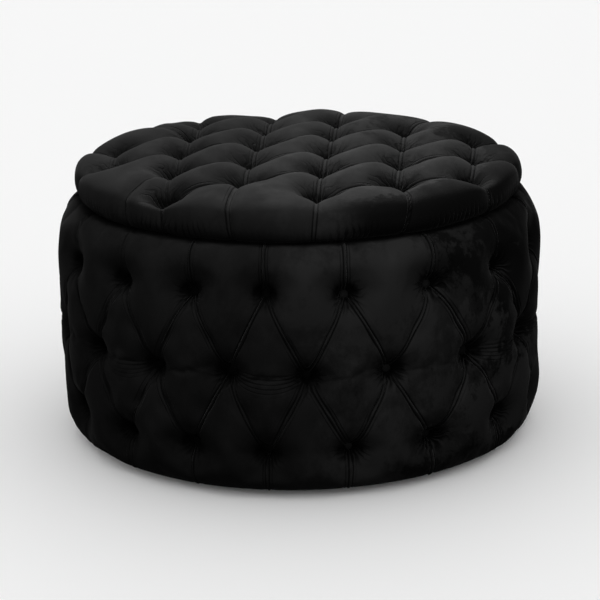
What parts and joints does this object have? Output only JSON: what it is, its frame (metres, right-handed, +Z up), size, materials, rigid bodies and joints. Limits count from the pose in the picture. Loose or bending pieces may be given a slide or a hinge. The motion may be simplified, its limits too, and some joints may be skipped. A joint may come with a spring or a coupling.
{
  "type": "storage ottoman",
  "caption": "Round drum ottoman in deep-buttoned black velvet, with a padded lid that lifts off a lined storage cavity.",
  "frame": {"origin": "on the floor, under the centre of the drum", "axes": "+Z up along the drum's axis; the side towards the camera in the reference view faces -Y"},
  "size_m": [0.85, 0.85, 0.5],
  "materials": {
    "velvet": "matte",
    "foam": "matte",
    "plywood": "matte",
    "pine": "matte",
    "hardboard": "matte",
    "lining": "matte",
    "dust_cloth": "matte",
    "plastic": "satin",
    "steel": "satin"
  },
  "bodies": {
    "drum": {"base_board": "plywood", "cavity_lining": "lining", "dust_cover": "dust_cloth", "glide_1": "plastic", "glide_2": "plastic", "glide_3": "plastic", "glide_4": "plastic", "glide_5": "plastic", "glide_6": "plastic", "glide_screw_1": "steel", "glide_screw_2": "steel", "glide_screw_3": "steel", "glide_screw_4": "steel", "glide_screw_5": "steel", "glide_screw_6": "steel", "lower_frame_ring": "plywood", "lower_post_1": "pine", "lower_post_2": "pine", "lower_post_3": "pine", "lower_post_4": "pine", "lower_post_5": "pine", "lower_post_6": "pine", "lower_post_7": "pine", "lower_post_8": "pine", "middle_frame_ring": "plywood", "side_cover": "velvet", "side_foam": "foam", "storage_floor": "lining", "upper_frame_ring": "plywood", "upper_post_1": "pine", "upper_post_2": "pine", "upper_post_3": "pine", "upper_post_4": "pine", "upper_post_5": "pine", "upper_post_6": "pine", "upper_post_7": "pine", "upper_post_8": "pine", "wall_board": "hardboard"},
    "lid": {"lid_board": "plywood", "lid_cover": "velvet", "lid_foam": "foam", "lid_lining": "lining", "lid_screw_1": "steel", "lid_screw_2": "steel", "lid_screw_3": "steel", "lid_screw_4": "steel", "lid_screw_5": "steel", "lid_screw_6": "steel", "locating_ring": "plywood"}
  },
  "joints": [
    {"name": "lid_lift", "type": "slide", "parent": "drum", "child": "lid", "axis": [0, 0, 1], "range_m": [0, 0.5]}
  ]
}
